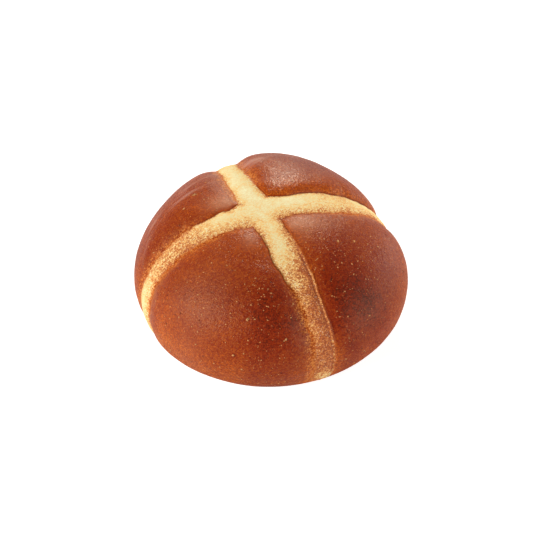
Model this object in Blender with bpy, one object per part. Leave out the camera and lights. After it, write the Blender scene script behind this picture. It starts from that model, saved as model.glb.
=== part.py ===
# Hot cross bun: a round risen bun with a ribbon cross of pale paste baked into its top.
# Row frame in metres: +Z up, the flat underside on Z = 0, +X and +Y along two arms of the cross.
#
# Both pieces are laid out on one square grid. A grid point has two stations, one from each line of the
# cross. The larger one is its ring, which runs from the middle of the top down to the underside, and
# the smaller one is its distance from the nearest arm's middle line. So the grid's lines follow the
# arms all the way down the sides, and the edge of the paste is a line of the grid.

import math

import bmesh
import bpy
import numpy as np
from mathutils import Vector

# The plain bun, before it puffs up between the arms
BUN_RADIUS = 0.0450
CROWN_HEIGHT = 0.0279
WIDEST_LEVEL = 0.0128
KEEL_DEPTH = 0.0327
FOOT_ROUNDING = 0.0050
LAST_RING_ANGLE = math.radians(127)
TOP_LEAN = (-0.0030, 0.0015)

# Near the middle of the top the plan is drawn out along +Y and -Y, so the cross's middle is oblong
MIDDLE_STRETCH = 0.40
STRETCH_REACH = 0.0180

# Waves by which the plan departs from a circle: number, share of the radius, azimuth of a crest
PLAN_WAVES = (
    (2, 0.020, math.radians(82)),
    (3, 0.032, math.radians(69)),
    (4, 0.017, math.radians(-12)),
)

# The cross: half width of the paste, its thickness, and the clearance between it and the crust
PASTE_HALF_WIDTH = 0.0040
PASTE_THICKNESS = 0.0020
PASTE_CROWN = 0.0004
PASTE_SINK = 0.0003
GAP = 0.0003
WALL_LEAN = 0.0001

# The arms' rounded ends, low on the sides
END_ANGLE = math.radians(106)
END_LENGTH = math.radians(8)
END_WIDTH = 0.50
END_THICKNESS = 0.55

# The four arms in order of azimuth: +X, +Y, -X, -Y
ARM_TURN = tuple(math.radians(angle) for angle in (0.5, 5, -8, 3.5))
ARM_BEND = tuple(math.radians(angle) for angle in (-1, -9.5, 9, -4))

# The arms' widths as shares of the paste's, near the middle and far down, and the angles where they hold
ARM_WIDTH = ((1.45, 1.06), (1.01, 0.81), (1.05, 0.85), (1.17, 0.90))
NEAR_ANGLE = math.radians(20)
FAR_ANGLE = math.radians(60)
ARM_WIDTH_WAVE = 0.04
ARM_WAVE_RATE = 5.1
ARM_WAVE_SHIFT = 2.1

# The four puffed quarters in order of azimuth, the first between +X and +Y: a steep lip beside the
# paste, which dies away down the side, and a broad puff above it
QUARTER_LIP = (0.0020, 0.0014, 0.0017, 0.0013)
LIP_REACH = 0.0018
LIP_FADE = 0.0300
QUARTER_PUFF = (0.0023, 0.0023, 0.0042, 0.0018)
PUFF_REACH = 0.0120
PUFF_FADE = 0.0090

# Grid: stations close beside the paste, then in the open crust
NEAR_STATION = 0.0100
LIP_STEP = 0.0006
STEP_GROWTH = 1.45
OPEN_STEP = 0.0030
PASTE_STEPS = (0.0, 0.5, 0.85, 1.0)

# Finishes: base colour and roughness
CRUST_FINISH = ((0.33, 0.085, 0.028, 1.0), 0.42)
PASTE_FINISH = ((0.86, 0.66, 0.34, 1.0), 0.70)
SHARP_EDGE = math.radians(40)

QUARTER_TURN = math.pi / 2
RING_START = math.asin(math.sqrt(2) * NEAR_STATION / BUN_RADIUS)
RING_SLOPE = math.sqrt(2) / (BUN_RADIUS * math.cos(RING_START))


def smooth(t):
    t = min(max(t, 0.0), 1.0)
    return t * t * (3 - 2 * t)


def risen(distance, reach):
    """Rises from 0 at an edge towards 1, steeply for a short reach."""
    return 1 - math.exp(-max(distance, 0.0) / reach)


def ring_angle(station):
    """Angle from the top, seen from the bun's middle, of the ring at a station."""
    if station <= NEAR_STATION:
        return math.asin(math.sqrt(2) * station / BUN_RADIUS)
    return RING_START + (station - NEAR_STATION) * RING_SLOPE


def station_at(angle):
    """Station of a ring past the near ones."""
    return NEAR_STATION + (angle - RING_START) / RING_SLOPE


def evenly(start, stop):
    """Stations after the first up to the last, in open steps."""
    steps = math.ceil((stop - start) / OPEN_STEP)
    return [start + (stop - start) * (i + 1) / steps for i in range(steps)]


def crust_stations():
    """Stations of the bun: groove floor, foot and head of the groove's wall, crust, and the arms' ends."""
    foot = PASTE_HALF_WIDTH + GAP
    found = [0.0, 0.5 * foot, foot, foot + WALL_LEAN]
    step = LIP_STEP
    while found[-1] + step < NEAR_STATION:
        found.append(found[-1] + step)
        step = min(step * STEP_GROWTH, OPEN_STEP)
    found += evenly(found[-1], station_at(END_ANGLE) + GAP)
    found.append(found[-1] + WALL_LEAN)
    found += evenly(found[-1], station_at(LAST_RING_ANGLE))
    return found


def paste_stations():
    """Stations of the cross: across the paste, then along its arms in the crust's own steps."""
    across = [share * PASTE_HALF_WIDTH for share in PASTE_STEPS]
    last = station_at(END_ANGLE)
    head = PASTE_HALF_WIDTH + GAP + WALL_LEAN
    along = [s for s in crust_stations() if head < s < last - LIP_STEP]
    return across + along + [last]


def level(angle):
    """Height of the plain bun's surface, which is made flat and soft edged where it stands."""
    half_height = CROWN_HEIGHT if angle < QUARTER_TURN else KEEL_DEPTH
    height = WIDEST_LEVEL + half_height * math.cos(angle)
    if height < -FOOT_ROUNDING:
        return 0.0
    if height < FOOT_ROUNDING:
        return (height + FOOT_ROUNDING) ** 2 / (4 * FOOT_ROUNDING)
    return height


def plan_growth(azimuth):
    """How much the plan stands out of its circle, as a share of the radius."""
    return sum(share * math.cos(number * (azimuth - crest)) for number, share, crest in PLAN_WAVES)


def turned_azimuth(azimuth, angle):
    """Turns a point round with the arms beside it, which bend on their way to the rim."""
    share = min(angle / QUARTER_TURN, 1.4)
    turned = azimuth
    for arm in range(4):
        away = abs((azimuth - arm * QUARTER_TURN + math.pi) % (2 * math.pi) - math.pi)
        hold = 1 - smooth(away / QUARTER_TURN)
        turned += hold * (ARM_TURN[arm] + ARM_BEND[arm] * share)
    return turned


def end_share(angle):
    """0 along an arm, rising to 1 over its rounded end."""
    t = (angle - END_ANGLE + END_LENGTH) / END_LENGTH
    return min(max(t, 0.0), 1.0)


def paste_edge(arm, ring):
    """Half width of an arm's paste where the arm crosses a ring."""
    angle = ring_angle(ring)
    own = smooth((ring - 1.5 * PASTE_HALF_WIDTH) / (3 * PASTE_HALF_WIDTH))
    near, far = ARM_WIDTH[arm]
    width = near + (far - near) * smooth((angle - NEAR_ANGLE) / (FAR_ANGLE - NEAR_ANGLE))
    wave = ARM_WIDTH_WAVE * math.sin(ARM_WAVE_RATE * angle + ARM_WAVE_SHIFT * arm)
    rounded = math.sqrt(1 - end_share(angle) ** 2)
    narrow = END_WIDTH + (1 - END_WIDTH) * rounded
    return PASTE_HALF_WIDTH * (1 + own * (width - 1 + wave)) * narrow


def paste_depth(angle):
    """Thickness of the paste, less at the arms' ends."""
    return PASTE_THICKNESS * (1 - (1 - END_THICKNESS) * end_share(angle))


def distance_aside(station, ring, arm):
    """Distance from the arm's middle line of a point at this station of a ring."""
    corner = BUN_RADIUS * math.sin(ring_angle(ring)) / math.sqrt(2)
    edge = paste_edge(arm, ring)
    lines = [0.0, PASTE_HALF_WIDTH, PASTE_HALF_WIDTH + GAP, PASTE_HALF_WIDTH + GAP + WALL_LEAN, NEAR_STATION]
    places = [0.0, edge, edge + GAP, edge + GAP + WALL_LEAN, min(NEAR_STATION, corner)]
    inner = sum(line < ring for line in lines)
    return float(np.interp(station, lines[:inner] + [ring], places[:inner] + [corner]))


class Spot:
    """A point of the plain bun at two stations, with what its relief needs to know."""

    def __init__(self, x_station, y_station):
        along_x = abs(x_station) >= abs(y_station)
        first = x_station if along_x else y_station
        self.arm = (0 if along_x else 1) + (0 if first >= 0 else 2)
        self.ring = max(abs(x_station), abs(y_station))
        self.station = min(abs(x_station), abs(y_station))
        self.angle = ring_angle(self.ring)
        radius = BUN_RADIUS * math.sin(self.angle)
        self.aside = distance_aside(self.station, self.ring, self.arm)
        self.along = math.sqrt(max(radius**2 - self.aside**2, 0.0))
        x = math.copysign(self.along if along_x else self.aside, x_station)
        y = math.copysign(self.aside if along_x else self.along, y_station)
        plain_azimuth = math.atan2(y, x) % (2 * math.pi)
        self.quarter = int(plain_azimuth // QUARTER_TURN) % 4
        azimuth = turned_azimuth(plain_azimuth, self.angle)
        self.outward = Vector((math.cos(azimuth), math.sin(azimuth), 0))
        lean = 1 - smooth(self.angle / QUARTER_TURN)
        reach = radius * (1 + math.sin(self.angle) * plan_growth(azimuth))
        self.point = self.outward * reach
        stretch = MIDDLE_STRETCH * (1 - smooth(reach / STRETCH_REACH))
        self.point.y *= 1 + stretch
        self.point += Vector((TOP_LEAN[0] * lean, TOP_LEAN[1] * lean, level(self.angle)))

    def moved(self, height):
        """The point moved out of the plain surface by a height, never below the underside."""
        half_height = CROWN_HEIGHT if self.angle < QUARTER_TURN else KEEL_DEPTH
        normal = self.outward * half_height * math.sin(self.angle)
        normal.z = BUN_RADIUS * math.cos(self.angle)
        place = self.point + normal.normalized() * height
        place.z = max(place.z, 0.0)
        return place


def crust_place(spot):
    """Where the crust lies: in the groove under the paste, or risen between the arms."""
    foot = PASTE_HALF_WIDTH + GAP
    if spot.station <= foot and spot.ring <= station_at(END_ANGLE) + GAP:
        return spot.moved(-PASTE_SINK - paste_depth(spot.angle) - GAP)
    other = spot.quarter if spot.arm != spot.quarter else (spot.quarter + 1) % 4
    beside = spot.aside - paste_edge(spot.arm, spot.ring) - GAP
    beyond = spot.along - paste_edge(other, spot.ring) - GAP
    lip = QUARTER_LIP[spot.quarter] * risen(beside, LIP_REACH) * risen(beyond, LIP_REACH)
    puff = QUARTER_PUFF[spot.quarter] * risen(beside, PUFF_REACH) * risen(beyond, PUFF_REACH)
    low = spot.point.z
    return spot.moved(lip * smooth(low / LIP_FADE) + puff * smooth(low / PUFF_FADE))


def paste_top_place(spot):
    """Top of the paste, crowned across each arm."""
    share = min(spot.aside / paste_edge(spot.arm, spot.ring), 1.0)
    return spot.moved(PASTE_CROWN * (1 - share**2) - PASTE_SINK)


def paste_under_place(spot):
    return spot.moved(-PASTE_SINK - paste_depth(spot.angle))


def add_grid(bm, stations):
    """Adds a flat grid with whole number places, one line for each station either side of the middle."""
    count = len(stations) - 1
    bmesh.ops.create_grid(bm, x_segments=2 * count, y_segments=2 * count, size=count)


def lay(verts, stations, place):
    """Moves grid points from their whole number places onto the bun."""
    for vert in verts:
        x_station = math.copysign(stations[abs(round(vert.co.x))], vert.co.x)
        y_station = math.copysign(stations[abs(round(vert.co.y))], vert.co.y)
        vert.co = place(Spot(x_station, y_station))


def split_quads(bm):
    """Splits every face into triangles, a quad along its shorter diagonal."""
    bmesh.ops.triangulate(bm, faces=bm.faces[:], quad_method="SHORT_EDGE", ngon_method="BEAUTY")
    bmesh.ops.recalc_face_normals(bm, faces=bm.faces[:])


def bun_mesh():
    bm = bmesh.new()
    stations = crust_stations()
    add_grid(bm, stations)
    lay(bm.verts, stations, crust_place)
    rim = [edge for edge in bm.edges if edge.is_boundary]
    bmesh.ops.edgeloop_fill(bm, edges=rim)
    split_quads(bm)
    return bm


def cross_mesh():
    bm = bmesh.new()
    stations = paste_stations()
    add_grid(bm, stations)
    across = len(PASTE_STEPS) - 1
    off_arms = []
    for face in bm.faces:
        middle = face.calc_center_median()
        if min(abs(middle.x), abs(middle.y)) > across:
            off_arms.append(face)
    bmesh.ops.delete(bm, geom=off_arms, context="FACES")
    under = bm.verts[:]
    made = bmesh.ops.extrude_face_region(bm, geom=bm.faces[:])
    top = [item for item in made["geom"] if isinstance(item, bmesh.types.BMVert)]
    lay(under, stations, paste_under_place)
    lay(top, stations, paste_top_place)
    split_quads(bm)
    return bm


def middle_of(bm):
    """Middle of the mesh's box in plan."""
    low = Vector([min(vert.co[axis] for vert in bm.verts) for axis in range(2)])
    high = Vector([max(vert.co[axis] for vert in bm.verts) for axis in range(2)])
    return ((low + high) / 2).to_3d()


def make_material(name, finish):
    color, roughness = finish
    material = bpy.data.materials.new(name)
    material.use_nodes = True
    shader = material.node_tree.nodes["Principled BSDF"]
    shader.inputs["Base Color"].default_value = color
    shader.inputs["Roughness"].default_value = roughness
    shader.inputs["Metallic"].default_value = 0.0
    material.diffuse_color = color
    return material


def add_object(name, bm, material, collection):
    mesh = bpy.data.meshes.new(name)
    bm.to_mesh(mesh)
    bm.free()
    mesh.materials.append(material)
    mesh.shade_smooth()
    mesh.set_sharp_from_angle(angle=SHARP_EDGE)
    collection.objects.link(bpy.data.objects.new(name, mesh))


def main():
    for item in list(bpy.data.objects):
        bpy.data.objects.remove(item, do_unlink=True)
    collection = bpy.data.collections.new("hot_cross_bun")
    bpy.context.scene.collection.children.link(collection)
    bun = bun_mesh()
    cross = cross_mesh()
    middle = middle_of(bun)
    for piece in (bun, cross):
        bmesh.ops.translate(piece, verts=piece.verts[:], vec=-middle)
    add_object("bun", bun, make_material("crust", CRUST_FINISH), collection)
    add_object("cross", cross, make_material("paste", PASTE_FINISH), collection)


main()
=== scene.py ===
import math
import random
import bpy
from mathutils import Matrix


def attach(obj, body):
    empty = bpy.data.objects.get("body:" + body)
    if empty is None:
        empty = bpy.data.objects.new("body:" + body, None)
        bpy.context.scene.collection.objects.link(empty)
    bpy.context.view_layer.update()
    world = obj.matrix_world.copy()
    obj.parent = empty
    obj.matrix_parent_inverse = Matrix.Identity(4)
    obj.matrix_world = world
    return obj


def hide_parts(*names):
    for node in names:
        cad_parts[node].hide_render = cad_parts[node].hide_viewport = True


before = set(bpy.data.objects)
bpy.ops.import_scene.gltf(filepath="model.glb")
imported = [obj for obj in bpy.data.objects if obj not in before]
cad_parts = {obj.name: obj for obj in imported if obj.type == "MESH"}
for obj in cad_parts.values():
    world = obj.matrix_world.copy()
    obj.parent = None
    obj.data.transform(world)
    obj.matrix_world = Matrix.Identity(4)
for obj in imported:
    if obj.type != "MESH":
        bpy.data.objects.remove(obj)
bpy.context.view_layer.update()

from types import SimpleNamespace

import bmesh
import bpy
import numpy as np
from mathutils import Matrix, Vector, noise
from mathutils.bvhtree import BVHTree

# Hot cross bun. All sizes are in metres and all angles in degrees.
# Crust and paste are laid out on the same lines: a line's station is its distance from the middle of an
# arm, and a ring runs round the top of the bun at each station.

# the plain bun, before it puffs up between the arms: the solids' own sizes
bun = {
    "radius": 0.045,
    "crownHeight": 0.0279,
    "widestLevel": 0.0128,
    "keelDepth": 0.0327,
    "footRounding": 0.005,
    "lastAngle": 127,
    "topLean": (-0.003, 0.0015),
    "middleStretch": 0.4,
    "stretchReach": 0.018,
    "planWaves": ((2, 0.02, 82), (3, 0.032, 69), (4, 0.017, -12)),
    "nearStation": 0.01,
    "boxLines": 181,    # enough to find the form's box
    "middle": (0, 0, 0),    # of that box in plan, found at the end
}

# the cross, its arms in order of azimuth: +X, +Y, -X, -Y
cross = {
    "halfWidth": 0.004,
    "joint": 0.0003,    # the paste reaches this much further, up to the crust
    "endAngle": 106,
    "endLength": 8,
    "endWidth": 0.5,
    "turn": (0.5, 5, -8, 3.5),
    "bend": (-1, -9.5, 9, -4),
    "bendLimit": 1.4,    # in right angles from the top
    # each arm's width near the middle and far down, and the angles where they hold
    "width": ((1.45, 1.06), (1.01, 0.81), (1.05, 0.85), (1.17, 0.9)),
    "widthHolds": (20, 60),
    "ownFrom": (1.5, 3),    # where an arm takes its own width, and over what length, in half widths
    "widthWave": 0.04,
    "waveRate": 5.1,
    "waveShift": 2.1,
    # each quarter's corner draws back by this share of its distance from the middle
    "cornerRounding": (0.12, 0.25, 0.08, 0.05),
    "cornerReach": (0.0026, 0.0034, 0.0016, 0.0016),
    # its edges' ripples: length and height, share on either side of each arm, shift by arm, side and length
    "ripples": ((0.0034, 0.0001), (0.0061, 0.00016), (0.013, 0.0002)),
    "rippleShare": ((1, 1), (1, 1), (1, 1), (1, 0.3)),
    "rippleShift": (5, 2.6, 900),
    # where an edge draws in or swells: its arm, its side, how far along, its reach and by how much
    "swells": (
        (2, 1, 0.0062, 0.002, -0.0011),
        (2, 1, 0.0098, 0.0018, 0.0005),
        (2, 1, 0.043, 0.009, 0.0004),
        (2, -1, 0.043, 0.009, 0.0003),
        (3, -1, 0.0146, 0.003, 0.0006),
    ),
}

quarterTurn = math.pi / 2
nearAngle = math.asin(math.sqrt(2) * bun["nearStation"] / bun["radius"])
angleRate = math.sqrt(2) / (bun["radius"] * math.cos(nearAngle))
footStation = cross["halfWidth"] + cross["joint"]    # where the crust starts beside the paste
seedShift = (17.3, 5.7, 11.1)    # each seed takes its noise this much further on
tiny = 1e-9


def tone(red, green, blue):    # a colour as a screen shows it, made linear
    parts = [c / 255 for c in (red, green, blue)]
    return [c / 12.92 if c <= 0.04045 else ((c + 0.055) / 1.055) ** 2.4 for c in parts] + [1.0]


def smooth(t):
    t = np.clip(t, 0.0, 1.0)
    return t * t * (3 - 2 * t)


def smoothly(value, start, stop):    # 0 at the start, 1 at the stop
    return smooth((value - start) / (stop - start))


def risen(distance, reach):    # 0 at an edge, rising towards 1
    return 1 - np.exp(-np.maximum(distance, 0.0) / reach)


def ringAngle(station):
    near = np.arcsin(np.clip(math.sqrt(2) * station / bun["radius"], 0, 1))
    far = nearAngle + (station - bun["nearStation"]) * angleRate
    return np.where(station <= bun["nearStation"], near, far)


def stationAt(degrees):
    return bun["nearStation"] + (math.radians(degrees) - nearAngle) / angleRate


pasteEnd = stationAt(cross["endAngle"])
grooveEnd = pasteEnd + cross["joint"]


def halfHeightAt(angle):
    return np.where(angle < quarterTurn, bun["crownHeight"], bun["keelDepth"])


def levelAt(angle):    # eased on to the ground at the foot
    easing = bun["footRounding"]
    height = bun["widestLevel"] + halfHeightAt(angle) * np.cos(angle)
    soft = (height + easing) ** 2 / (4 * easing)
    return np.where(height < -easing, 0.0, np.where(height < easing, soft, height))


def planGrowth(azimuth):
    waves = bun["planWaves"]
    return sum(share * np.cos(n * (azimuth - math.radians(crest))) for n, share, crest in waves)


def turnedAzimuth(azimuth, angle):
    share = np.minimum(angle / quarterTurn, cross["bendLimit"])
    turned = azimuth.copy()
    for arm, (turn, bend) in enumerate(zip(cross["turn"], cross["bend"])):
        away = np.abs((azimuth - arm * quarterTurn + math.pi) % (2 * math.pi) - math.pi)
        turned += (1 - smooth(away / quarterTurn)) * np.radians(turn + bend * share)
    return turned


def endShare(angle):    # 0 along an arm, 1 at its end
    s = cross
    return np.clip((np.degrees(angle) - s["endAngle"] + s["endLength"]) / s["endLength"], 0, 1)


def pasteEdge(arm, ring, side=0):    # the side, -1 or 1, gives each edge its own ripples and swells
    s = cross
    half = s["halfWidth"]
    angle = ringAngle(ring)
    start, run = s["ownFrom"]
    own = smooth((ring - start * half) / (run * half))
    near, far = np.moveaxis(np.array(s["width"])[arm], -1, 0)
    width = near + (far - near) * smoothly(np.degrees(angle), *s["widthHolds"])
    wave = s["widthWave"] * np.sin(s["waveRate"] * angle + s["waveShift"] * arm)
    narrow = s["endWidth"] + (1 - s["endWidth"]) * np.sqrt(1 - endShare(angle) ** 2)
    byArm, bySide, byLength = s["rippleShift"]
    apart = byArm * arm + bySide * side
    ripple = sum(height * np.sin(2 * math.pi * ring / length + apart + byLength * length)
                 for length, height in s["ripples"])
    ripple = ripple * np.abs(side) * np.array(s["rippleShare"])[arm, (side > 0) * 1]
    swell = sum((arm == swollen) * (side == which) * amount * np.exp(-((ring - along) / reach) ** 2)
                for swollen, which, along, reach, amount in s["swells"])
    return (half * (1 + own * (width - 1 + wave)) + own * ripple + swell) * narrow


def asideOf(station, ring, arm, side):    # true distance from the arm's middle
    corner = bun["radius"] * np.sin(ringAngle(ring)) / math.sqrt(2)
    joint, near = cross["joint"], bun["nearStation"]
    edge = pasteEdge(arm, ring, side)
    lines = [0, cross["halfWidth"], footStation, near, 1]    # the last lies past every station
    places = [0, edge, edge + joint, np.minimum(near, corner), corner]
    aside = np.zeros_like(station)
    for low, high, start, stop in zip(lines, lines[1:], places, places[1:]):
        target = np.where(ring <= high, corner, stop)
        share = (station - low) / np.maximum(np.minimum(high, ring) - low, tiny)
        aside = np.where((station > low) & (station <= high), start + (target - start) * share, aside)
    return aside


def spotsAt(xStation, yStation):    # all that the relief needs to know of each crossing of the lines
    spot = SimpleNamespace()
    spot.alongX = np.abs(xStation) >= np.abs(yStation)
    spot.signs = (np.where(xStation < 0, -1, 1), np.where(yStation < 0, -1, 1))
    first = np.where(spot.alongX, xStation, yStation)
    spot.arm = np.where(spot.alongX, 0, 1) + np.where(first >= 0, 0, 2)
    spot.ring = np.maximum(np.abs(xStation), np.abs(yStation))
    spot.station = np.minimum(np.abs(xStation), np.abs(yStation))
    spot.angle = ringAngle(spot.ring)
    spot.side = np.where(spot.alongX, spot.signs[1], spot.signs[0])
    spot.edge = pasteEdge(spot.arm, spot.ring, spot.side)
    spot.aside = asideOf(spot.station, spot.ring, spot.arm, spot.side)
    spot.wall = spot.edge + cross["joint"]
    spot.beside = spot.aside - spot.wall
    spot.quarter = quarterOf(spot)
    roundCorners(spot)
    spot.along = alongOf(spot)
    other = np.where(spot.arm == spot.quarter, (spot.quarter + 1) % 4, spot.quarter)
    spot.beyond = spot.along - pasteEdge(other, spot.ring) - cross["joint"]
    spot.clear = np.hypot(np.maximum(spot.beside, 0), np.maximum(spot.ring - grooveEnd, 0))
    return spot


def roundCorners(spot):    # move the points by a quarter's corner away from the middle
    s = cross
    away = np.hypot(spot.station - footStation, spot.ring - footStation)
    away = away / np.array(s["cornerReach"])[spot.quarter]
    push = np.array(s["cornerRounding"])[spot.quarter] * np.exp(-away ** 2)
    further = ringAngle(spot.ring * (1 + push))
    wider = np.sin(further) / np.maximum(np.sin(spot.angle), tiny)
    spot.aside = spot.aside * np.where(spot.ring > 0, wider, 1)
    spot.angle = further


def alongOf(spot):
    radius = bun["radius"] * np.sin(spot.angle)
    return np.sqrt(np.maximum(radius ** 2 - spot.aside ** 2, 0))


def plainAzimuth(spot):
    x = spot.signs[0] * np.where(spot.alongX, alongOf(spot), spot.aside)
    y = spot.signs[1] * np.where(spot.alongX, spot.aside, alongOf(spot))
    return np.arctan2(y, x) % (2 * math.pi)


def quarterOf(spot):    # counted from the one between +X and +Y
    return (plainAzimuth(spot) // quarterTurn).astype(int) % 4


def outwardOf(spot):    # unit normals of the plain bun
    azimuth = turnedAzimuth(plainAzimuth(spot), spot.angle)
    flat, steep = halfHeightAt(spot.angle) * np.sin(spot.angle), bun["radius"] * np.cos(spot.angle)
    outward = np.stack([flat * np.cos(azimuth), flat * np.sin(azimuth), steep], axis=1)
    return outward / np.linalg.norm(outward, axis=1, keepdims=True)


def pointsAt(spot, height):    # the bun's surface, moved out by a height
    s = bun
    azimuth = turnedAzimuth(plainAzimuth(spot), spot.angle)
    radius = s["radius"] * np.sin(spot.angle)
    reach = radius * (1 + np.sin(spot.angle) * planGrowth(azimuth))
    stretch = s["middleStretch"] * (1 - smooth(reach / s["stretchReach"]))
    lean = 1 - smooth(spot.angle / quarterTurn)
    point = np.stack([
        reach * np.cos(azimuth) + s["topLean"][0] * lean,
        reach * np.sin(azimuth) * (1 + stretch) + s["topLean"][1] * lean,
        levelAt(spot.angle),
    ], axis=1)
    point += outwardOf(spot) * height[:, None]
    point[:, 2] = np.maximum(point[:, 2], 0)
    return point - s["middle"]


def noiseAt(points, size, seed):    # soft noise, about -1 to 1, with lumps of this size
    shift = Vector([seed * far for far in seedShift])
    return np.array([noise.noise(Vector(p) / size + shift) for p in points])


def layeredNoise(points, layers, seed):    # each layer has its size and amount, and a seed of its own
    return sum(amount * noiseAt(points, size, seed + i) for i, (size, amount) in enumerate(layers))


# How the crust rises between the arms: a steep lip beside the paste, and a broad puff above it.
# The quarters go round from the one between +X and +Y.
crust = {
    "lip": (0.002, 0.0014, 0.0017, 0.0013),
    "lipReach": 0.0018,
    "softReach": 0.0021,    # where the edge is soft
    "lipFade": 0.03,
    "puff": (0.0023, 0.0023, 0.0042, 0.0018),
    "puffReach": 0.012,
    "puffFade": 0.009,
    "grooveDepth": 0.0018,
    "grooveLines": 5,
    "wallLean": 0.0001,    # of the groove's walls
    "creaseDepth": 0.0002,
    "creaseReach": 0.0004,
    "overhang": 0.0001,    # how far the lip leans over the paste
    "overhangReach": (0.00025, 0.0009),    # the lengths over which it starts and dies away
    "overhangLevel": 0.020,   # it leans less below this level
    "skin": 0.00005,    # the fine relief is let in by this much, to stay inside the solid
    "reliefFrom": (0.003, 0.006),    # how soon it grows, away from the paste and up from the ground
    "lumps": ((0.016, 0.00035), (0.0045, 0.00010)),    # size and depth
    "pits": (0.0016, 0.00004),
    "firstStep": 0.00012,
    "stepGrowth": 1.08,
    "openStep": 0.00049,
}


# Each quarter has an edge beside its first arm and one beside its second. Near the middle of the cross an
# edge is crisp, with a crease under the lip, and further out the paste runs into the crust.
edges = {
    "crease": ((1.0, 0.6), (0.4, 0.6), (0.7, 1.0), (0.8, 1.0)),    # how deep the crease is, and how strong its painted shade
    "crispTo": ((0.06, 0.01), (0.003, 0.018), (0.009, 0.024), (0.009, 0.014)),
    "softFrom": ((0.07, 0.018), (0.009, 0.028), (0.016, 0.036), (0.014, 0.026)),
    # how much less the crust browned beside the paste
    "halo": ((0.2, 0.22), (0.24, 0.1), (0.16, 0.12), (0.2, 0.24)),
    "haloReach": ((0.0036, 0.003), (0.0022, 0.0014), (0.002, 0.0014), (0.0024, 0.0016)),
    # how much more the paste toasted at its edges
    "fringe": ((0.24, 0.3), (0.36, 0.38), (0.38, 0.46), (0.28, 0.54)),
    "fringeReach": ((0.0008, 0.0012), (0.0012, 0.0013), (0.0014, 0.0018), (0.0022, 0.0015)),
    # how far the two run together, near the middle and far out, and where they change over
    "blendNear": ((0.0004, 0.001), (0.0008, 0.0006), (0.0008, 0.0008), (0.0003, 0.0006)),
    "blendFar": ((0.0006, 0.0012), (0.001, 0.001), (0.0012, 0.0022), (0.0004, 0.0008)),
    "blendAlong": (0.016, 0.04),
    "dust": ((0.1, 0.6), (1.0, 0.5), (0.4, 0.62), (0.2, 0.4)),    # how much dry paste lies on the crust
}


def atEdge(spot, name, other=False):    # a value of the nearest edge, or of the quarter's other one
    second = (spot.arm != spot.quarter) != other
    return np.array(edges[name])[spot.quarter, second.astype(int)]


def crispness(spot, other=False):
    along = spot.aside if other else spot.along
    return 1 - smoothly(along, atEdge(spot, "crispTo", other), atEdge(spot, "softFrom", other))


def insideOf(spot):    # how far a point of the paste is from the crust
    return np.hypot(np.maximum(-spot.beside, 0), np.maximum(-spot.beyond, 0))


def crustRise(spot, low):
    lip = np.array(crust["lip"])[spot.quarter] * smooth(low / crust["lipFade"])
    puff = np.array(crust["puff"])[spot.quarter] * smooth(low / crust["puffFade"])
    for distance, other in ((spot.beside, False), (spot.beyond, True)):
        steep = risen(distance, crust["lipReach"])
        far = np.maximum(distance, 0) / crust["softReach"]
        eased = 1 - np.exp(-far ** 2 / (1 + far))
        lip = lip * (eased + (steep - eased) * crispness(spot, other))
    return lip + puff * risen(spot.beside, crust["puffReach"]) * risen(spot.beyond, crust["puffReach"])


def crustLines():
    s = crust
    lines = list(np.linspace(0, footStation, s["grooveLines"])) + [footStation + s["wallLean"]]
    step = s["firstStep"]
    while lines[-1] + step < bun["nearStation"]:
        lines.append(lines[-1] + step)
        step = min(step * s["stepGrowth"], s["openStep"])
    for stop in (grooveEnd, stationAt(bun["lastAngle"])):
        count = math.ceil((stop - lines[-1]) / s["openStep"])
        lines += list(np.linspace(lines[-1], stop, count + 1)[1:])
        lines.append(lines[-1] + s["wallLean"])
    return np.array(lines[:-1])


def gridMesh(lines, keep=None):    # a flat grid whose points lie on whole numbers, which count the lines
    bm = bmesh.new()
    count = len(lines) - 1
    bmesh.ops.create_grid(bm, x_segments=2 * count, y_segments=2 * count, size=count)
    if keep:
        off = [f for f in bm.faces if not keep(f.calc_center_median())]
        bmesh.ops.delete(bm, geom=off, context="FACES")
    return bm


def stationsOf(verts, lines):
    places = np.array([vert.co[:2] for vert in verts])
    index = np.rint(places).astype(int)
    stations = lines[np.abs(index)] * np.where(index < 0, -1, 1)
    return stations[:, 0], stations[:, 1]


def moveTo(verts, points):
    for vert, point in zip(verts, points):
        vert.co = point


def addFloats(mesh, floats, order=slice(None), rest=0.0):    # what the materials read at each point
    for name, values in floats.items():
        painted = np.full(len(mesh.vertices), rest, dtype=np.float32)
        painted[order] = values
        mesh.attributes.new(name, "FLOAT", "POINT").data.foreach_set("value", painted)


def newObject(name, bm, material):
    mesh = bpy.data.meshes.new(name)
    bm.to_mesh(mesh)
    bm.free()
    mesh.shade_smooth()
    mesh.materials.append(material)
    thing = bpy.data.objects.new(name, mesh)
    bpy.context.scene.collection.objects.link(thing)
    return thing


def newPiece(name, bm, material, node=None):
    piece = newObject(name, bm, material)
    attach(piece, "root")
    if node:
        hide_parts(node)
    return piece


def crustHeights(spot, points):
    s = crust
    low = points[:, 2]
    crisp = crispness(spot)
    height = crustRise(spot, low) - s["skin"]
    crease = s["creaseDepth"] * atEdge(spot, "crease") * crisp
    height -= crease * np.exp(-np.maximum(spot.beside, 0) / s["creaseReach"])
    beside, up = s["reliefFrom"]
    away = risen(np.minimum(spot.beside, spot.beyond), beside) * smooth(low / up)
    for seed, (size, depth) in enumerate(s["lumps"], 1):
        height -= depth * away * (0.5 + 0.5 * noiseAt(points, size, seed))
    size, depth = s["pits"]
    return height - depth * away * np.abs(noiseAt(points, size, 3))
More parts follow.
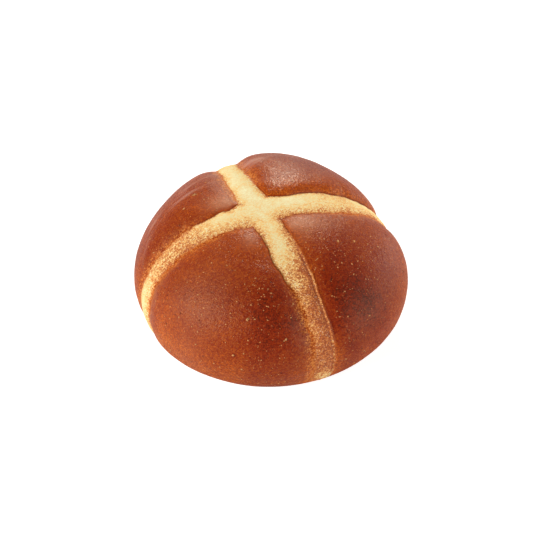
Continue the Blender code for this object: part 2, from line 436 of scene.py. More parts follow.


# Fine wrinkles where the skin of the two back quarters was drawn tight, with painted sheen over them in
# patches. They run round the bun, highest at this azimuth and lower to either side.
wrinklesAndSheen = {
    "from": 30,
    "to": 47,
    "soften": (5, 6),    # at either end
    "azimuth": 98,
    "spread": 80,
    "fall": 40,
    # how wide, how long and how strong
    "streaks": ((0.006, 0.024, 0.8), (0.0022, 0.015, 1.2), (0.0011, 0.011, 0.9)),
    "share": 0.42,
    "patches": (0.010, 0.8),  # they come in patches: size and how strong
    "waver": (0.005, 0.0006),
    "clear": 0.0010,    # of the paste
    # the pale pinkish colour of the wrinkles, partly painted sheen
    "color": tone(206, 152, 136),
    "strength": 0.65,
    "depth": 0.6,
}


def wrinkledAndSheenOf(spot, points):    # how strongly the skin is wrinkled and painted with sheen
    s = wrinklesAndSheen
    azimuth = plainAzimuth(spot)
    away = np.abs((np.degrees(azimuth) - s["azimuth"] + 180) % 360 - 180) / s["spread"]
    level = np.degrees(spot.angle) - s["fall"] * away ** 2
    start, stop = s["soften"]
    band = smooth((level - s["from"]) / start) * smooth((s["to"] - level) / stop)
    patch = smooth(2 * (1 - away)) * risen(spot.beside, s["clear"])
    size, waver = s["waver"]
    down = np.radians(level) * bun["radius"] + waver * noiseAt(points, size, 7)
    across = azimuth * bun["radius"]
    size, much = s["patches"]
    streak = s["share"] + much * noiseAt(points, size, 9)
    for width, length, much in s["streaks"]:
        flat = np.stack([down / width, across / length, np.zeros_like(down)], axis=1)
        streak += much * noiseAt(flat, 1, 8)
    return band * patch * np.clip(streak, 0, 1)


# painted sheen, pale and pinkish, in places on the crust: where, how far and how strong
paintedSheen = {
    "color": tone(223, 157, 120),
    "fade": 0.0017,    # it stops short of the paste
    "spots": (
        (0.0055, -0.0088, 0.0028, 0.38), (0.0095, -0.009, 0.0032, 0.36), (0.014, -0.0102, 0.0034, 0.2),
        (0.019, -0.0118, 0.0036, 0.08), (0.0075, -0.0135, 0.004, 0.1), (-0.0108, 0.0092, 0.0036, 0.45),
        (-0.015, 0.011, 0.004, 0.12), (-0.0103, -0.0109, 0.003, 0.22), (-0.038, -0.026, 0.006, 0.08),
        (-0.027, -0.017, 0.011, 0.06), (-0.03, 0.006, 0.006, 0.03),
    ),
}


def spotSum(points, spots):    # soft round spots in plan: place, reach and amount
    return sum(amount * np.exp(-(np.hypot(points[:, 0] - x, points[:, 1] - y) / reach) ** 2)
               for x, y, reach, amount in spots)


def makeCrust(material):
    s = crust
    lines = crustLines()
    bm = gridMesh(lines)
    verts = bm.verts[:]
    spot = spotsAt(*stationsOf(verts, lines))
    inGroove = (spot.station <= footStation + tiny) & (spot.ring <= grooveEnd + tiny)
    plain = pointsAt(spot, np.zeros(len(verts)))
    crisp = crispness(spot) * smooth(plain[:, 2] / s["overhangLevel"]) * atEdge(spot, "crease")
    start, fade = s["overhangReach"]
    lean = np.exp(-np.maximum(spot.beside, 0) / fade) * risen(spot.beside, start)
    spot.aside -= np.where(inGroove, 0, s["overhang"] * crisp * lean)
    height = np.where(inGroove, -s["grooveDepth"], crustHeights(spot, plain))
    moveTo(verts, pointsAt(spot, height))
    rim = [edge for edge in bm.edges if edge.is_boundary]
    bmesh.ops.edgeloop_fill(bm, edges=rim)
    bmesh.ops.recalc_face_normals(bm, faces=bm.faces[:])
    piece = newPiece("crustPiece", bm, material, "bun")
    addFloats(piece.data, {
        "beside": np.where(inGroove, 0, spot.clear),
        "crisp": crisp,
        "dusty": dustOf(spot),
        "bakeAndShade": bakeAndShadeOf(spot, plain),
        "dull": dullnessOf(plain),
        "wrinkledAndSheen": wrinkledAndSheenOf(spot, plain),
        "paintedSheen": spotSum(plain, paintedSheen["spots"]) * smooth(spot.beside / paintedSheen["fade"]),
    })
    print("crust:", len(piece.data.vertices), "points")
    return piece


# How brown the crust is, from 0, straw, to 1, the darkest, with some painted shade. The spots are places in
# plan painted browner or lighter than the rest, with their reach; the two darkest, beside the front arm, are
# partly painted shade.
bakingAndShade = {
    "open": 0.5,
    "foot": 0.27,    # lighter down at the foot
    "footLevel": 0.027,
    "patches": ((0.014, 0.07), (0.005, 0.07)),    # size and amount
    "spots": (
        (-0.0125, -0.035, 0.01, 0.34), (0.011, -0.035, 0.011, 0.26), (0.02, -0.028, 0.012, 0.1),
        (-0.027, 0.008, 0.01, 0.05), (0.0125, 0.013, 0.008, 0.04), (0.023, 0.024, 0.01, 0.12),
        (0.0136, -0.0148, 0.007, 0.1), (-0.0342, -0.024, 0.012, 0.12), (-0.0068, -0.0375, 0.0022, 0.12),
        (0.0048, -0.04, 0.0026, 0.1), (0.007, -0.0474, 0.0022, -0.11), (0.0088, -0.0455, 0.0048, 0.2),
        (0.025, -0.033, 0.011, 0.07), (-0.0195, -0.03, 0.0055, -0.04), (-0.043, -0.0155, 0.0035, -0.07),
        (0.0085, -0.024, 0.0045, 0.06), (0.0285, -0.0225, 0.005, 0.06), (-0.018, -0.044, 0.009, 0.05),
        (-0.0415, -0.0215, 0.0075, -0.13), (-0.036, -0.0295, 0.006, -0.07), (-0.0118, 0.0128, 0.005, -0.06),
        (0.0205, -0.04, 0.006, 0.1), (-0.016, -0.02, 0.006, 0.05),
    ),
    # the crust is glossier here, by so much less roughness
    "glossy": (
        (0.0125, 0.0135, 0.011, 0.05), (-0.0123, -0.0124, 0.005, 0.1), (-0.0342, -0.024, 0.012, 0.02),
    ),
    "footDullness": 0.45,    # down at the foot, which has no glaze
    "dullLevel": 0.014,
}


def dustOf(spot):    # pale grains of the paste lie on the crust beside soft edges
    return atEdge(spot, "dust") * (1 - crispness(spot)) * (1 - ridgeShare(spot))


def bakeAndShadeOf(spot, points):
    s = bakingAndShade
    near = atEdge(spot, "halo") * np.exp(-spot.clear / atEdge(spot, "haloReach"))
    far = atEdge(spot, "halo", True) * np.exp(-np.maximum(spot.beyond, 0) / atEdge(spot, "haloReach", True))
    bakeAndShade = s["open"] - np.maximum(near, far)
    bakeAndShade -= s["foot"] * (1 - smooth(points[:, 2] / s["footLevel"]))
    # spots in plan, two of them partly painted shade
    bakeAndShade += spotSum(points, s["spots"])
    return bakeAndShade + layeredNoise(points, s["patches"], 4)


def dullnessOf(points):
    s = bakingAndShade
    dull = s["footDullness"] * (1 - smooth(points[:, 2] / s["dullLevel"]))
    return dull - spotSum(points, s["glossy"])


# The paste lies in the valleys between the quarters. Toast is how brown it is along each arm, at some
# angles from the top, and lean is how much browner its clockwise side is.
paste = {
    "crown": 0.0004,
    "sink": 0.0001,
    "edgeDrop": 0.00010,    # where its edge is crisp
    "edgeReach": 0.0006,
    "lumps": ((0.0026, 0.00010), (0.0009, 0.00008)),    # size and height
    "underside": 0.0002,    # above the groove's floor
    "hidden": 0.2,    # what is painted on the underside
    "across": 20,
    "step": 0.00027,
    "stops": (8, 21, 35, 53, 75, 92, 102),
    "toast": ((0.12, 0.17, 0.23, 0.24, 0.22, 0.21, 0.21), (0.12, 0.12, 0.11, 0.12, 0.13, 0.14, 0.15),
              (0.12, 0.2, 0.44, 0.48, 0.18, 0.13, 0.13), (0.12, 0.19, 0.5, 0.72, 0.8, 0.76, 0.34)),
    "lean": ((0.02, 0.02, -0.02, 0.04, 0.1, 0.1, 0.1), (0.02, 0.04, 0.05, 0.05, 0.05, 0.05, 0.05),
             (-0.04, -0.12, -0.08, -0.06, -0.1, -0.1, 0), (-0.06, -0.28, -0.4, -0.34, -0.24, -0.08, 0.16)),
    "darkest": 0.84,
    "mottles": ((0.006, 0.12), (0.002, 0.10)),    # size and amount
    "mottled": (0.60, 1.2),    # on the palest paste, and how much more on toasted
    "creaseToast": 0.14,
    "creaseReach": 0.0006,
    "overlap": (0.00035, 0.00012),    # how far a soft and a crisp edge go over or into the crust
    "softLift": (0.00010, 0.00032),   # a soft edge starts above the crust and ends below it
    "softRun": (0.0006, 0.0008),    # it rises to the crust from this far inside, over this length
    # the ridge along the right edge of the front arm: height and width, and where it starts and stops
    # and over what lengths
    "ridge": (0.00026, 0.00034),
    "ridgeFrom": 0.017,
    "ridgeTo": 0.052,
    "ridgeEnds": (0.004, 0.012),
    "ridgeEdge": 0.0003,    # the paste stops as sharply as this beside it
    # bands along it: place and reach, in its own widths
    "ridgeTop": (0, 1),
    "ridgeHollow": (2.5, 1.5),
    "ridgePaler": (0.8, 1),
    "ridgeBrowner": (2.5, 0.8),
    "ridgeToast": (-0.18, 0.22),
    "ridgeMottle": (0.003, 0.6),
    # places in plan that toasted more or less, and places where the paste has run into the crust
    "toasted": (
        (-0.008, -0.0022, 0.0024, 0.15), (-0.012, -0.0024, 0.0024, 0.08), (-0.0042, -0.0088, 0.0025, 0.09),
        (-0.0046, -0.0145, 0.0025, 0.07), (0.0004, 0.0072, 0.003, -0.07), (0.0117, 0.004, 0.0028, -0.07),
        (0.0222, 0.0028, 0.0035, 0.08), (0.0297, 0.0043, 0.0035, 0.09), (-0.0167, -0.0024, 0.0032, -0.11),
        (-0.024, -0.0022, 0.0034, -0.09), (-0.0003, -0.0438, 0.0036, -0.07),
    ),
    "blended": (
        (-0.0043, -0.0295, 0.0016, 0.5), (-0.0046, -0.0322, 0.0017, 0.6), (-0.0049, -0.035, 0.0017, 0.6),
        (-0.0052, -0.0378, 0.0016, 0.5), (-0.0054, -0.0405, 0.0013, 0.3),
    ),
}


def pasteLines():
    across = np.linspace(0, footStation, paste["across"] + 1)
    count = math.ceil((pasteEnd - footStation) / paste["step"])
    return np.concatenate([across, np.linspace(footStation, pasteEnd, count + 1)[1:]])


def ridgeShare(spot):    # arm 3 is the front one, and quarter 3 is on its right
    s = paste
    start, stop = s["ridgeEnds"]
    run = smooth((spot.along - s["ridgeFrom"]) / start) * smooth((s["ridgeTo"] - spot.along) / stop)
    return np.where((spot.arm == 3) & (spot.quarter == 3), run, 0)


def ridgeBand(spot, name):
    place, reach = paste[name]
    width = paste["ridge"][1]
    within = insideOf(spot) - blendReach(spot)
    return ridgeShare(spot) * np.exp(-((within - place * width) / width / reach) ** 2)


def pasteHeights(spot, points):
    s = paste
    crisp = crispness(spot)
    across = np.minimum(spot.aside / spot.wall, 1)
    height = s["crown"] * (1 - across ** 2) - s["sink"]
    height -= s["edgeDrop"] * np.exp(-insideOf(spot) / s["edgeReach"]) * crisp * atEdge(spot, "crease")
    above, fall = s["softLift"]
    onCrust = crustRise(spot, points[:, 2]) + above - fall * smooth(spot.beside / s["overlap"][0])
    start, run = s["softRun"]
    height += (onCrust - height) * (1 - crisp) * smooth((spot.beside + start) / run)
    height += s["ridge"][0] * (ridgeBand(spot, "ridgeTop") - ridgeBand(spot, "ridgeHollow"))
    return height + layeredNoise(points, s["lumps"], 11)


def toastOf(spot, points):
    s = paste
    clockwise = spot.side * np.array([-1, 1, 1, -1])[spot.arm]
    across = clockwise * spot.aside / spot.edge
    degrees = np.degrees(spot.angle)
    toast = np.zeros_like(degrees)
    for arm, (levels, leans) in enumerate(zip(s["toast"], s["lean"])):
        own = np.interp(degrees, s["stops"], levels) + np.interp(degrees, s["stops"], leans) * across
        toast = np.where(spot.arm == arm, own, toast)
    least, more = s["mottled"]
    toast += layeredNoise(points, s["mottles"], 13) * np.clip(least + more * toast, 0, 1)
    inside = insideOf(spot)
    toast += atEdge(spot, "fringe") * np.exp(-inside / atEdge(spot, "fringeReach"))
    crease = s["creaseToast"] * crispness(spot) * atEdge(spot, "crease")
    toast += crease * np.exp(-(inside / s["creaseReach"]) ** 2)
    toast = np.minimum(toast + spotSum(points, s["toasted"]), s["darkest"])
    paler, browner = s["ridgeToast"]
    size, amount = s["ridgeMottle"]
    toast += paler * (1 + amount * noiseAt(points, size, 15)) * ridgeBand(spot, "ridgePaler")
    return toast + browner * ridgeBand(spot, "ridgeBrowner")


def blendReach(spot):
    near, far = atEdge(spot, "blendNear"), atEdge(spot, "blendFar")
    return near + (far - near) * smoothly(spot.along, *edges["blendAlong"])


def blendOf(spot):    # 1 where a soft edge has run into the crust, 0 in the open paste
    reach = blendReach(spot)
    soft = np.clip(1 + spot.beside / reach, 0, 1)
    sharp = smooth((spot.beside + reach) / paste["ridgeEdge"] + 0.5)
    return (1 - crispness(spot)) * (soft + (sharp - soft) * ridgeShare(spot))


def makePaste(material):
    s = paste
    lines = pasteLines()
    bm = gridMesh(lines, keep=lambda place: min(abs(place.x), abs(place.y)) < s["across"])
    under = bm.verts[:]
    made = bmesh.ops.extrude_face_region(bm, geom=bm.faces[:])
    top = [item for item in made["geom"] if isinstance(item, bmesh.types.BMVert)]
    spot = spotsAt(*stationsOf(under, lines))
    moveTo(under, pointsAt(spot, np.full(len(under), s["underside"] - crust["grooveDepth"])))
    spot = spotsAt(*stationsOf(top, lines))
    soft, crisp = s["overlap"]
    overlap = soft + (crisp - soft) * crispness(spot)
    further = spot.aside * overlap / spot.wall
    spot.aside += further
    spot.beside += further
    plain = pointsAt(spot, np.zeros(len(top)))
    moveTo(top, pointsAt(spot, pasteHeights(spot, plain)))
    bm.verts.index_update()
    order = [vert.index for vert in top]
    bmesh.ops.recalc_face_normals(bm, faces=bm.faces[:])
    piece = newPiece("pastePiece", bm, material, "cross")
    addFloats(piece.data, {
        "toast": toastOf(spot, plain),
        "blend": np.minimum(blendOf(spot) + spotSum(plain, s["blended"]), 1),
        "bakeAndShade": bakeAndShadeOf(spot, plain),
        "dusty": dustOf(spot),
    }, order, s["hidden"])
    print("paste:", len(piece.data.vertices), "points")


# Pale flecks of dry flour and dough on the crust, and dark specks where it caught. Each is a small
# flattened grain, turned to the surface that it lies on.
flecks = {
    "count": 1100,
    "size": (0.0001, 0.00034),
    "long": (1, 1.6),    # how much longer than wide
    "flatness": 0.45,
    "lumpy": (0.7, 1.25),    # how far their corners are drawn in or out
    "sunk": 0.25,    # into the crust, as a share of the size
    "inward": 0.7,    # how far one may lie from its face's first edge
    "crowds": ((-0.015, -0.03, 0.01, 4), (0.02, -0.022, 0.01, 2)),    # place, reach, how many times more
    "lowest": 0.004,
    "clear": 0.001,    # of the paste
    "seed": 5,
    # a pale fleck is a heap of crumbs, and a dark one lies deeper
    "crumbs": 3,
    "crumbSpread": 0.6,
    "crumbSize": (0.4, 0.8),
    "crumbSunk": 0.3,
    "darkSunk": 0.38,
    # places, sizes and how much longer than wide
    "pale": (
        ((-0.0195, -0.0301, 0.0347), 0.00075, 1.5), ((-0.0208, -0.0344, 0.0316), 0.0006, 1.2),
        ((-0.0274, -0.0384, 0.021), 0.0005, 1.3), ((-0.0115, -0.0427, 0.0261), 0.0008, 1.3),
        ((0.0225, -0.0198, 0.0359), 0.00075, 1.6), ((0.0171, -0.019, 0.0377), 0.0006, 1.2),
        ((-0.0174, 0.0202, 0.0379), 0.0006, 1.8), ((-0.0163, 0.0149, 0.0395), 0.00045, 1.1),
        ((-0.015, 0.0142, 0.0398), 0.0004, 1.0), ((-0.037, -0.0254, 0.0257), 0.0004, 1.0),
        ((-0.03, -0.0377, 0.0147), 0.00055, 1.2), ((-0.0257, -0.0409, 0.0157), 0.0006, 1.3),
        ((-0.0208, -0.0438, 0.0146), 0.0005, 1.0), ((0.0308, -0.0208, 0.0319), 0.0005, 1.0),
        ((-0.0233, 0.0154, 0.0373), 0.0005, 1.5),
    ),
    # places, sizes, how much longer than wide, and which way they lie
    "streaks": (
        ((-0.0176, 0.0206, 0.0376), 0.0002, 5, 20), ((-0.017, 0.0196, 0.038), 0.00022, 4.6, 118),
        ((-0.0158, 0.019, 0.0384), 0.00016, 4, 62), ((0.0078, -0.0236, 0.037), 0.00016, 6, 50),
        ((0.0058, -0.0266, 0.0364), 0.00015, 5, 58), ((0.01, -0.0216, 0.0372), 0.00012, 5, 40),
        ((-0.0028, -0.0222, 0.038), 0.00014, 5, 70),
    ),
    "dark": (
        ((-0.0434, -0.018, 0.0197), 0.00045, 1, 0), ((0.0096, -0.0311, 0.0342), 0.00045, 2.6, 67),
        ((0.0291, 0.0198, 0.0336), 0.0006, 2.8, -40), ((0.0253, 0.0197, 0.0357), 0.00045, 2.4, -35),
        ((0.0193, 0.0127, 0.039), 0.0003, 1, 0),
    ),
}


def addFleck(bm, place, normal, size, long, sunk, draw, lie=None):
    spin = draw.uniform(0, 2 * math.pi) if lie is None else math.radians(lie)
    turn = normal.to_track_quat("Z", "Y").to_matrix().to_4x4() @ Matrix.Rotation(spin, 4, "Z")
    shape = Matrix.Diagonal((size * long, size, size * flecks["flatness"], 1))
    made = bmesh.ops.create_icosphere(bm, subdivisions=1, radius=1.0)
    for vert in made["verts"]:
        vert.co *= draw.uniform(*flecks["lumpy"])
    move = Matrix.Translation(place - normal * size * sunk)
    bmesh.ops.transform(bm, matrix=move @ turn @ shape, verts=made["verts"])


def addMarks(bm, marks, sunk, ground, draw):
    for near, size, long, lie in marks:
        place, normal = ground.find_nearest(Vector(near))[:2]
        addFleck(bm, place, normal, size, long, sunk, draw, lie)


def makeFlecks(crustPiece, paleMaterial, darkMaterial):
    s = flecks
    mesh = crustPiece.data
    ground = BVHTree.FromObject(crustPiece, bpy.context.evaluated_depsgraph_get())
    draw = random.Random(s["seed"])
    beside = np.empty(len(mesh.vertices), dtype=np.float32)
    mesh.attributes["beside"].data.foreach_get("value", beside)
    faces = [face for face in mesh.polygons
             if face.center.z > s["lowest"] and beside[face.vertices[0]] > s["clear"]]
    crowding = 1 + spotSum(np.array([face.center for face in faces]), s["crowds"])
    weights = [face.area * more for face, more in zip(faces, crowding)]
    small, large = s["size"]
    bm = bmesh.new()
    for face in draw.choices(faces, weights=weights, k=s["count"]):
        size = small + (large - small) * draw.random() ** 2
        corners = [mesh.vertices[i].co for i in face.vertices]
        place = corners[0].lerp(corners[1], draw.random()).lerp(corners[2], draw.random() * s["inward"])
        addFleck(bm, place, face.normal, size, draw.uniform(*s["long"]), s["sunk"], draw)
    for near, size, long in s["pale"]:
        place, normal = ground.find_nearest(Vector(near))[:2]
        for i in range(s["crumbs"]):
            shift = Vector((draw.gauss(0, size), draw.gauss(0, size), 0)) * s["crumbSpread"]
            width = size * draw.uniform(*s["crumbSize"])
            addFleck(bm, place + shift, normal, width, long, s["crumbSunk"], draw)
    addMarks(bm, s["streaks"], s["sunk"], ground, draw)
    newPiece("paleFlecks", bm, paleMaterial)
    bm = bmesh.new()
    addMarks(bm, s["dark"], s["darkSunk"], ground, draw)
    newPiece("darkSpecks", bm, darkMaterial)
    print("flecks:", s["count"])


# Materials

def feed(tree, node, inputs):    # link or set what goes into a node
    for key, value in inputs.items():
        if isinstance(value, bpy.types.NodeSocket):
            tree.links.new(value, node.inputs[key])
        else:
            node.inputs[key].default_value = value


def addNode(tree, kind, inputs=None, **choices):
    node = tree.nodes.new(kind)
    for key, value in choices.items():
        setattr(node, key, value)
    feed(tree, node, inputs or {})
    return node


def attribute(tree, name):
    return addNode(tree, "ShaderNodeAttribute", attribute_name=name).outputs["Fac"]


def maths(tree, operation, first, second, clamp=False):
    node = addNode(tree, "ShaderNodeMath", {0: first, 1: second}, operation=operation, use_clamp=clamp)
    return node.outputs[0]


def times(tree, first, second):
    return maths(tree, "MULTIPLY", first, second)


def plus(tree, first, second):
    return maths(tree, "ADD", first, second)


def swing(tree, value, amount):    # a value from 0 to 1 becomes one to either side of 0
    return times(tree, maths(tree, "SUBTRACT", value, 0.5), amount)


def ranged(tree, value, low, high, toLow=0.0, toHigh=1.0):
    inputs = {"Value": value, "From Min": low, "From Max": high, "To Min": toLow, "To Max": toHigh}
    return addNode(tree, "ShaderNodeMapRange", inputs, interpolation_type="SMOOTHSTEP").outputs[0]


def mixed(tree, factor, first, second):
    return addNode(tree, "ShaderNodeMix", {0: factor, 6: first, 7: second}, data_type="RGBA").outputs[2]


def ramp(tree, value, stops):
    node = addNode(tree, "ShaderNodeValToRGB", {"Fac": value})
    elements = node.color_ramp.elements
    while len(elements) < len(stops):
        elements.new(0.5)
    for element, (place, color) in zip(elements, stops):
        element.position = place
        element.color = color
    return node.outputs["Color"]


def newGroup(name, inputs, values, colors=()):
    group = bpy.data.node_groups.new(name, "ShaderNodeTree")
    for socket, default in inputs.items():
        made = group.interface.new_socket(socket, in_out="INPUT", socket_type="NodeSocketFloat")
        made.default_value = default
    for socket in values:
        group.interface.new_socket(socket, in_out="OUTPUT", socket_type="NodeSocketFloat")
    for socket in colors:
        group.interface.new_socket(socket, in_out="OUTPUT", socket_type="NodeSocketColor")
    return group, group.nodes.new("NodeGroupInput"), group.nodes.new("NodeGroupOutput")


speckShape = {
    "smallest": 0.35,    # of the given size, and up to 1 more
    "core": 0.55,    # the full part, inside a soft edge
}


def speckGroup():    # sparse specks: one in each cell that the share picks, of a random size
    group, given, out = newGroup("specks", {"Scale": 500, "Share": 0.3, "Size": 0.2}, ["Mask"])
    place = addNode(group, "ShaderNodeTexCoord").outputs["Object"]
    cells = addNode(group, "ShaderNodeTexVoronoi", {"Vector": place, "Scale": given.outputs["Scale"]})
    pick = addNode(group, "ShaderNodeSeparateColor", {"Color": cells.outputs["Color"]})
    chosen = maths(group, "LESS_THAN", pick.outputs[0], given.outputs["Share"])
    size = times(group, given.outputs["Size"], plus(group, pick.outputs[1], speckShape["smallest"]))
    near = maths(group, "DIVIDE", cells.outputs["Distance"], size)
    mask = times(group, ranged(group, near, 1.0, speckShape["core"]), chosen)
    group.links.new(mask, out.inputs["Mask"])
    return group


def grainGroup():    # fine grain of two sizes, 0 to 1, and single grains each of its own shade
    sizes = {"Coarse": 400, "Fine": 1500, "Cells": 2000, "Fine Share": 0.4}
    group, given, out = newGroup("grain", sizes, ["Height", "Shade"])
    place = addNode(group, "ShaderNodeTexCoord").outputs["Object"]
    coarse = {"Vector": place, "Scale": given.outputs["Coarse"], "Detail": 2.0}
    fine = {"Vector": place, "Scale": given.outputs["Fine"], "Detail": 1.0}
    coarse, fine = (addNode(group, "ShaderNodeTexNoise", inputs).outputs["Fac"] for inputs in (coarse, fine))
    both = addNode(group, "ShaderNodeMix", {0: given.outputs["Fine Share"], 2: coarse, 3: fine})
    group.links.new(both.outputs[0], out.inputs["Height"])
    cells = addNode(group, "ShaderNodeTexVoronoi", {"Vector": place, "Scale": given.outputs["Cells"]})
    picked = addNode(group, "ShaderNodeSeparateColor", {"Color": cells.outputs["Color"]})
    group.links.new(picked.outputs[0], out.inputs["Shade"])
    return group


def placeGroup(tree, group, **inputs):
    values = {key.replace("_", " "): value for key, value in inputs.items()}
    node = addNode(tree, "ShaderNodeGroup", values, node_tree=group)
    return node.outputs[0] if len(node.outputs) == 1 else list(node.outputs)


def newMaterial(name):
    material = bpy.data.materials.new(name)
    material.use_nodes = True
    tree = material.node_tree
    return material, tree, tree.nodes["Principled BSDF"]


crustFinish = {
    "colors": (
        (0, tone(228, 146, 66)), (0.14, tone(212, 110, 32)), (0.3, tone(186, 80, 18)),
        (0.45, tone(160, 68, 20)), (0.65, tone(146, 45, 12)), (0.85, tone(120, 29, 8)),
        (1, tone(84, 22, 8)),
    ),
    "mottle": 0.72,
    "grains": 0.36,
    "relief": (0.3, 0.8),    # heights of the grain between which the roughness changes
    "roughness": (0.32, 0.46),
    "shine": 0.25,
    "glaze": tone(255, 240, 200),
    "bump": 0.00034,
    "smoothed": 0.45,    # how much of the relief is left where the crust is glossier
    "glossiest": 0.10,    # by this much less roughness
    "dot": tone(208, 124, 66),
    "dotted": 0.6,
    "raised": 0.4,
    "scorch": tone(76, 28, 16),
    "scorched": 0.5,
    # painted shade in the crease under a crisp lip, over a darker browned edge, and its reach from the paste
    "crease": tone(118, 38, 12),
    "creaseReach": 0.0005,
    "dust": tone(216, 128, 58),
    "dustReach": 0.003,
    "dusted": 0.30,    # how many more grains of dust lie where it is thickest
    "dustRange": (0.6, 0.82),
    "dustFull": 0.3,
}


def nearness(tree, distance, reach):    # 1 at an edge, falling to 0
    return maths(tree, "SUBTRACT", 1.0, maths(tree, "DIVIDE", distance, reach), clamp=True)


def crustGroup(specks, grain):    # the colour and fine relief of browned crust; dusty beside the paste
    s = crustFinish
    group, given, out = newGroup("crust", {"Bake": 0.5, "Dust": 0.0}, ["Height"], ["Color"])
    mottle, shades = placeGroup(group, grain, Coarse=900, Fine=2400, Cells=2600, Fine_Share=0.6)
    uneven = plus(group, swing(group, mottle, s["mottle"]), swing(group, shades, s["grains"]))
    color = ramp(group, plus(group, given.outputs["Bake"], uneven), s["colors"])
    paleDots = placeGroup(group, specks, Scale=1300, Share=0.2, Size=0.28)
    color = mixed(group, times(group, paleDots, s["dotted"]), color, s["dot"])
    darkDots = placeGroup(group, specks, Scale=700, Share=0.14, Size=0.2)
    color = mixed(group, times(group, darkDots, s["scorched"]), color, s["scorch"])
    fine, fineShades = placeGroup(group, grain, Coarse=1000, Fine=2300, Cells=2300, Fine_Share=0.5)
    dust = times(group, plus(group, fine, fineShades), 0.5)
    dust = plus(group, dust, times(group, given.outputs["Dust"], s["dusted"]))
    dust = ranged(group, dust, *s["dustRange"])
    dust = times(group, dust, ranged(group, given.outputs["Dust"], 0.0, s["dustFull"]))
    color = mixed(group, dust, color, s["dust"])
    raised = plus(group, mottle, times(group, paleDots, s["raised"]))
    height = maths(group, "SUBTRACT", raised, darkDots)
    feed(group, out, {"Color": color, "Height": height})
    return group


def crustMaterial(browned):
    s = crustFinish
    material, tree, shader = newMaterial("crustFinish")
    beside = attribute(tree, "beside")
    dust = times(tree, nearness(tree, beside, s["dustReach"]), attribute(tree, "dusty"))
    height, color = placeGroup(tree, browned, Bake=attribute(tree, "bakeAndShade"), Dust=dust)
    # painted shade in the crease beside crisp edges, over a darker browned edge
    crease = times(tree, nearness(tree, beside, s["creaseReach"]), attribute(tree, "crisp"))
    color = mixed(tree, crease, color, s["crease"])
    # painted sheen mixed into the crust's colour
    color = mixed(tree, attribute(tree, "paintedSheen"), color, paintedSheen["color"])
    # wrinkles: their colour, which is partly painted sheen, and their relief
    wrinkledAndSheen = attribute(tree, "wrinkledAndSheen")
    color = mixed(tree, times(tree, wrinkledAndSheen, wrinklesAndSheen["strength"]), color, wrinklesAndSheen["color"])
    height = plus(tree, height, times(tree, wrinkledAndSheen, wrinklesAndSheen["depth"]))
    dull = attribute(tree, "dull")
    rough = plus(tree, ranged(tree, height, *s["relief"], *s["roughness"]), dull)
    relief = ranged(tree, dull, -s["glossiest"], 0.0, s["smoothed"], 1.0)
    bump = addNode(tree, "ShaderNodeBump", {"Height": height, "Distance": s["bump"], "Strength": relief})
    feed(tree, shader, {
        "Base Color": color,
        "Roughness": rough,
        "Normal": bump.outputs[0],
        "Specular IOR Level": s["shine"],
        "Specular Tint": s["glaze"],
    })
    return material


pasteFinish = {
    "colors": (
        (0, tone(252, 246, 204)), (0.14, tone(244, 222, 163)), (0.27, tone(248, 205, 130)),
        (0.4, tone(238, 176, 104)), (0.57, tone(214, 134, 74)), (0.77, tone(192, 102, 54)),
        (1, tone(158, 78, 48)),
    ),
    # single grains: how fine, their color, and between which toasts their share goes from what to what
    "singles": (
        (1900, tone(176, 126, 104), (0.2, 0.6, 0.0, 0.6)),
        (2000, tone(244, 214, 176), (0.3, 0.7, 0.35, 0.6)),
    ),
    "strength": (0.10, 0.48, 0.20, 1.0),    # of the grain, in the same way
    "blotches": 0.7,
    "grains": 0.64,
    "ragged": 0.7,    # how much the grain frays the edge where the paste has run into the crust
    "edge": (0.25, 0.8),
    "roughness": 0.72,
    "shine": 0.25,
    "bump": 0.00008,
}


def pasteMaterial(specks, grain, browned):
    s = pasteFinish
    material, tree, shader = newMaterial("pasteFinish")
    mottle, shades = placeGroup(tree, grain, Coarse=1400, Fine=2800, Cells=2700, Fine_Share=0.55)
    toast = attribute(tree, "toast")
    strength = ranged(tree, toast, *s["strength"])
    uneven = plus(tree, swing(tree, mottle, s["blotches"]), swing(tree, shades, s["grains"]))
    color = ramp(tree, plus(tree, toast, times(tree, uneven, strength)), s["colors"])
    for scale, single, share in s["singles"]:
        picked = placeGroup(tree, specks, Scale=scale, Share=0.3, Size=0.38)
        color = mixed(tree, times(tree, picked, ranged(tree, toast, *share)), color, single)
    blend = attribute(tree, "blend")
    crustColor = placeGroup(tree, browned, Bake=attribute(tree, "bakeAndShade"), Dust=attribute(tree, "dusty"))[1]
    spread = plus(tree, blend, times(tree, uneven, s["ragged"]))
    run = ranged(tree, spread, *s["edge"])
    bump = addNode(tree, "ShaderNodeBump", {"Height": mottle, "Distance": s["bump"], "Strength": 1.0})
    feed(tree, shader, {
        "Base Color": mixed(tree, run, color, crustColor),
        "Roughness": ranged(tree, run, 0.0, 1.0, s["roughness"], crustFinish["roughness"][1]),
        "Normal": bump.outputs[0],
        "Specular IOR Level": s["shine"],
        "Specular Tint": crustFinish["glaze"],
    })
    return material


fleckFinish = {
    "pale": tone(224, 160, 100),
    "dark": tone(56, 24, 20),
    "shade": 0.6,    # how dark each is in its darker places
    "mottle": (0.35, 0.65),
    "roughness": 0.6,
    "shine": 0.2,
}


def fleckMaterial(name, color, grain):
    s = fleckFinish
    material, tree, shader = newMaterial(name)
    mottle = placeGroup(tree, grain, Coarse=900, Fine=3000, Fine_Share=0.4)[0]
    darker = [c * s["shade"] for c in color[:3]] + [1.0]
    feed(tree, shader, {
        "Base Color": mixed(tree, ranged(tree, mottle, *s["mottle"]), darker, color),
        "Roughness": s["roughness"],
        "Specular IOR Level": s["shine"],
    })
    return material


# Studio: the camera stands as the photograph's did, and large soft lights stand round the bun
camera = {
    "azimuth": -22.9,
    "elevation": 45.0,
    "distance": 0.6,
    "lens": 118.2,
    "sensor": 36,
    "clipStart": 0.01,
    "target": (-0.0003, -0.0038, 0.017),
}

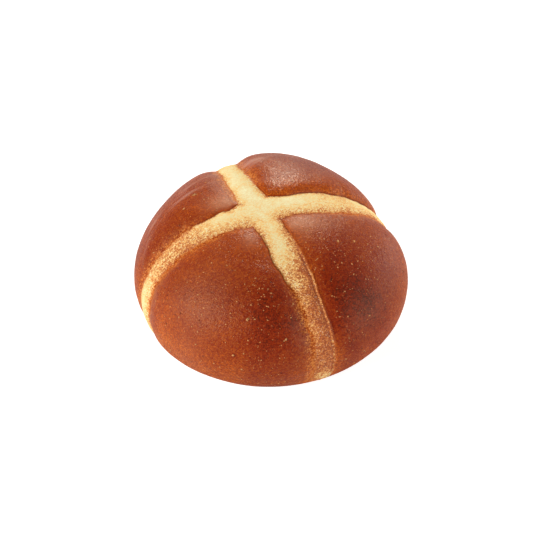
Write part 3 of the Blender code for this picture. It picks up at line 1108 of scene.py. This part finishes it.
studio = {
    "backdrop": tone(255, 255, 255),
    "fill": 0.12,
    "fillTone": tone(255, 238, 214),
    "floor": tone(195, 195, 195),
    "floorRoughness": 0.9,
    "floorReach": 4.0,
    "floorGlow": (0.88, 0.42, 0.16),    # as the camera sees it, as it lights the bun, and in reflections
    # name, azimuth, elevation, distance, width, how bright it makes a white card that faces it, and color
    "lights": (
        ("leftLight", -84, 32, 0.9, 0.46, 0.86, (1, 1, 1)),
        ("backLight", 151, 28, 0.9, 0.16, 0.62, (1.0, 0.96, 0.86)),
        ("rightLight", 48, 10, 0.9, 0.6, 0.6, (1, 1, 1)),
        ("sideLight", 102, 3, 0.9, 0.3, 0.28, (1, 1, 1)),
    ),
}


def direction(azimuth, elevation):    # azimuth 0 looks from -Y
    a, e = math.radians(azimuth), math.radians(elevation)
    return Vector((math.sin(a) * math.cos(e), -math.cos(a) * math.cos(e), math.sin(e)))


def stand(name, data, azimuth, elevation, distance, target=(0, 0, 0)):    # put it there, facing the target
    thing = bpy.data.objects.new(name, data)
    bpy.context.scene.collection.objects.link(thing)
    away = direction(azimuth, elevation)
    thing.location = Vector(target) + away * distance
    thing.rotation_euler = away.to_track_quat("Z", "Y").to_euler()
    return thing


def makeCamera():
    s = camera
    data = bpy.data.cameras.new("camera")
    data.lens = s["lens"]
    data.sensor_width = s["sensor"]
    data.clip_start = s["clipStart"]
    holder = stand("camera", data, s["azimuth"], s["elevation"], s["distance"], s["target"])
    bpy.context.scene.camera = holder


def makeWorld():    # seen white by the camera, but dim as a light
    world = bpy.data.worlds.new("studio")
    world.use_nodes = True
    tree = world.node_tree
    seen = addNode(tree, "ShaderNodeLightPath").outputs["Is Camera Ray"]
    strength = plus(tree, times(tree, seen, 1 - studio["fill"]), studio["fill"])
    color = mixed(tree, seen, studio["fillTone"], studio["backdrop"])
    feed(tree, tree.nodes["Background"], {"Color": color, "Strength": strength})
    bpy.context.scene.world = world


def makeLight(name, azimuth, elevation, distance, width, share, color):
    data = bpy.data.lights.new(name, "AREA")
    data.color = color
    data.shape = "DISK"
    data.size = width
    data.energy = share * math.pi ** 2 * (distance ** 2 + width ** 2 / 4)
    stand(name, data, azimuth, elevation, distance)


def makeFloor():
    s = studio
    bm = bmesh.new()
    bmesh.ops.create_grid(bm, x_segments=1, y_segments=1, size=s["floorReach"])
    material, tree, shader = newMaterial("floorFinish")
    seen, glow, mirrored = s["floorGlow"]
    path = addNode(tree, "ShaderNodeLightPath")
    strength = ranged(tree, path.outputs["Is Camera Ray"], 0, 1, glow, seen)
    strength = ranged(tree, path.outputs["Is Glossy Ray"], 0, 1, strength, mirrored)
    feed(tree, shader, {
        "Base Color": s["floor"],
        "Roughness": s["floorRoughness"],
        "Specular IOR Level": 0.0,
        "Emission Color": s["backdrop"],
        "Emission Strength": strength,
    })
    newObject("floor", bm, material)


def makeStudio():
    bpy.context.scene.view_settings.view_transform = "Standard"
    makeWorld()
    for light in studio["lights"]:
        makeLight(*light)
    makeFloor()
    print("studio: ready")


def findMiddle():    # the solids' plan is centred on the origin by its box, so the form here is too
    last = stationAt(bun["lastAngle"])
    lines = np.linspace(-last, last, bun["boxLines"])
    spot = spotsAt(np.repeat(lines, len(lines)), np.tile(lines, len(lines)))
    plain = pointsAt(spot, np.zeros(len(spot.ring)))
    points = pointsAt(spot, crustRise(spot, plain[:, 2]))
    bun["middle"] = (points.min(axis=0) + points.max(axis=0)) / 2 * (1, 1, 0)
    print("form: middle", bun["middle"])


findMiddle()
makeCamera()
specks = speckGroup()
grain = grainGroup()
browned = crustGroup(specks, grain)
crustPiece = makeCrust(crustMaterial(browned))
makePaste(pasteMaterial(specks, grain, browned))
makeFlecks(crustPiece, fleckMaterial("paleFleck", fleckFinish["pale"], grain),
           fleckMaterial("darkSpeck", fleckFinish["dark"], grain))
makeStudio()
